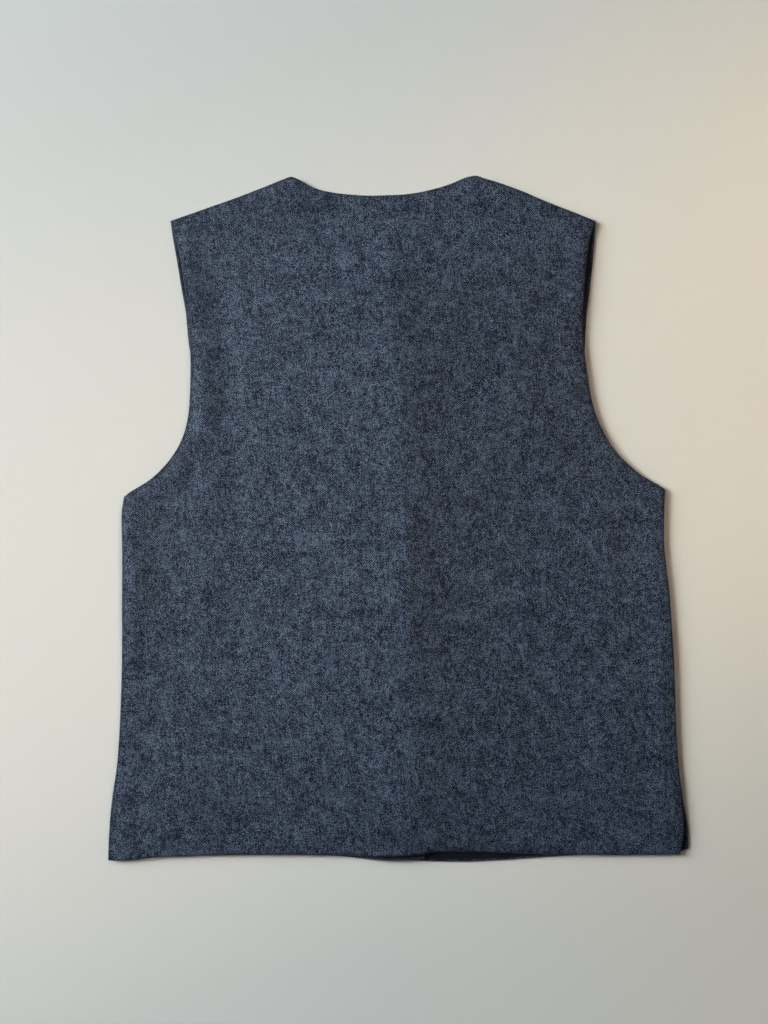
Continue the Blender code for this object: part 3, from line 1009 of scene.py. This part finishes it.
def button_threads(material):
    """Two bars of thread in the dish of every button."""
    curve = bpy.data.curves.new("button_threads", "CURVE")
    curve.dimensions = "3D"
    curve.bevel_depth = STRAND_RADIUS * MM
    curve.bevel_resolution = 2
    for across, along in hole_places():
        for side in THREAD_BARS:
            for strand in BAR_STRANDS:
                line = curve.splines.new("POLY")
                line.points.add(len(THREAD_SAG) - 1)
                for point, (x, z) in zip(line.points, THREAD_SAG):
                    point.co = (across + x * MM, along + (side + strand) * MM, z * MM, 1)
    shaped = bpy.data.objects.new("button_threads_line", curve)
    bpy.context.scene.collection.objects.link(shaped)
    depsgraph = bpy.context.evaluated_depsgraph_get()
    mesh = bpy.data.meshes.new_from_object(shaped.evaluated_get(depsgraph))
    bpy.data.objects.remove(shaped)
    mesh.materials.clear()
    mesh.materials.append(material)
    made = bpy.data.objects.new("button_threads", mesh)
    bpy.context.scene.collection.objects.link(made)
    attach(made, "root")


def make_right_front(finish):
    side_steps, arm_steps = rows_up(*FRONT_ROWS)
    across = crowded(FRONT_COLUMNS, FRONT_CROWD)
    neck = FRONT_NECK[-1]
    places = unsteady(spread(
        lap_line(right_lap_edge, RIGHT_HEM[0][1], neck[0], side_steps, arm_steps),
        side_line(FRONT_SIDE, FRONT_ARMHOLE, 1, side_steps, arm_steps),
        across_line(RIGHT_HEM, float(button_line(0)) - LAP, RIGHT_HEM[-1][0], across),
        across_line(TOP_LINE, neck[2], TOP_LINE[-1][0], across),
    ))
    distance = edge_distance(places)
    under = button_room(places[:, :, 0], places[:, :, 1])
    return cloth_shell(
        "right_front_cloth", "right_front", places, under + CLOTH / 2, distance, finish
    )


# Setting

CAMERA_HEIGHT = 1.05
VIEW_LONG = 0.946  # length of the surface that the camera takes in
VIEW_CENTRE = (-0.0134, 0.0063)


def set_camera():
    low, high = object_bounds()
    data = bpy.data.cameras.new("camera")
    data.sensor_width = 36
    data.lens = data.sensor_width * CAMERA_HEIGHT / VIEW_LONG
    made = bpy.data.objects.new("camera", data)
    bpy.context.scene.collection.objects.link(made)
    middle = (Vector(low) + Vector(high)) / 2
    made.location = (middle.x + VIEW_CENTRE[0], middle.y + VIEW_CENTRE[1], CAMERA_HEIGHT)
    bpy.context.scene.camera = made


def soft_light(name, direction, distance, size, spread, energy, colour, aim):
    """A soft panel light turned to a place on the surface; angles are in degrees."""
    data = bpy.data.lights.new(name, "AREA")
    data.shape = "RECTANGLE"
    data.size, data.size_y = size
    data.spread = math.radians(spread)
    data.energy = energy
    data.color = colour
    made = bpy.data.objects.new(name, data)
    bpy.context.scene.collection.objects.link(made)
    turn = math.radians(direction[0])
    tilt = math.radians(direction[1])
    level = math.cos(tilt)
    away = Vector((math.cos(turn) * level, math.sin(turn) * level, math.sin(tilt)))
    made.location = Vector((aim[0], aim[1], 0)) + away * distance
    made.rotation_euler = away.to_track_quat("Z", "Y").to_euler()


# Lights.  Columns: name, compass and height of the direction, distance, size, spread, power,
# colour, place on the surface it is turned to.
LIGHTS = (
    ("window", (160, 21), 6.5, (3.2, 3.0), 180, 840, (0.91, 0.95, 0.94), (0, 0)),
    ("room_lamp", (18, 52), 2.6, (0.60, 1.7), 13, 0.95, (1.0, 0.77, 0.52), (-0.024, 0.04)),
)
ROOM_COLOUR = (0.88, 0.82, 0.74, 1)
ROOM_STRENGTH = 0.125


def set_stage():
    half = 3.0
    drop = -0.0003  # clear of the lowest nap
    mesh = bpy.data.meshes.new("surface")
    corners = [(-half, -half, drop), (half, -half, drop), (half, half, drop), (-half, half, drop)]
    mesh.from_pydata(corners, [], [(0, 1, 2, 3)])
    mesh.materials.append(pale_surface("pale_surface"))
    floor = bpy.data.objects.new("surface", mesh)
    bpy.context.scene.collection.objects.link(floor)
    world = bpy.data.worlds.new("room")
    bpy.context.scene.world = world
    world.use_nodes = True
    background = world.node_tree.nodes["Background"]
    background.inputs["Color"].default_value = ROOM_COLOUR
    background.inputs["Strength"].default_value = ROOM_STRENGTH
    for light in LIGHTS:
        soft_light(*light)
    bpy.context.scene.view_settings.view_transform = "Standard"
    bpy.context.scene.view_settings.gamma = 0.85
    bpy.context.scene.cycles.denoising_prefilter = "NONE"


def dress(piece, node):
    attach(piece, "root")
    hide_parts(node)


# Colours of the yarns and threads, from dark to pale
BACK_YARNS = ((0.0013, 0.0049, 0.0205, 1), (0.0103, 0.0226, 0.0615, 1), (0.158, 0.214, 0.302, 1))
FRONT_YARNS = ((0.0013, 0.0049, 0.0205, 1), (0.0099, 0.0215, 0.0593, 1), (0.150, 0.205, 0.291, 1))
SEWING_THREAD = ((0.010, 0.016, 0.030, 1), (0.030, 0.044, 0.070, 1))
NAP_FIBRE = ((0.030, 0.044, 0.068, 1), (0.16, 0.20, 0.26, 1))
FRONT_SHIFT = 40  # the fronts are cut from another place of the cloth


def main():
    back_finish = suiting("back_twill", *BACK_YARNS, 0, False)
    front_finish = suiting("front_twill", *FRONT_YARNS, FRONT_SHIFT, True)
    button_finish = horn("dark_horn")
    thread_finish = thread("thread", *SEWING_THREAD)
    nap_finish = thread("nap", *NAP_FIBRE)
    back, back_border = make_back(back_finish)
    left, left_border = make_left_front(front_finish)
    right, right_border = make_right_front(front_finish)
    open_buttonholes(right)
    dress(back, "back_panel")
    dress(left, "left_front")
    dress(right, "right_front")
    for name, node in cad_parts.items():
        if name.startswith("button_"):
            node.data.materials.clear()
            node.data.materials.append(button_finish)
    tree = thread_tree()
    holes = buttonhole_paths(BUTTON_ROOM)
    threads("buttonhole_stitches", tree, holes, thread_finish, STITCHES, STITCH_SEED)
    button_threads(thread_finish)
    borders = {
        "back_nap": back_border,
        "left_front_nap": left_border,
        "right_front_nap": right_border,
    }
    for number, (name, border) in enumerate(borders.items()):
        threads(name, tree, [border], nap_finish, NAP, number)
    set_camera()
    set_stage()


main()
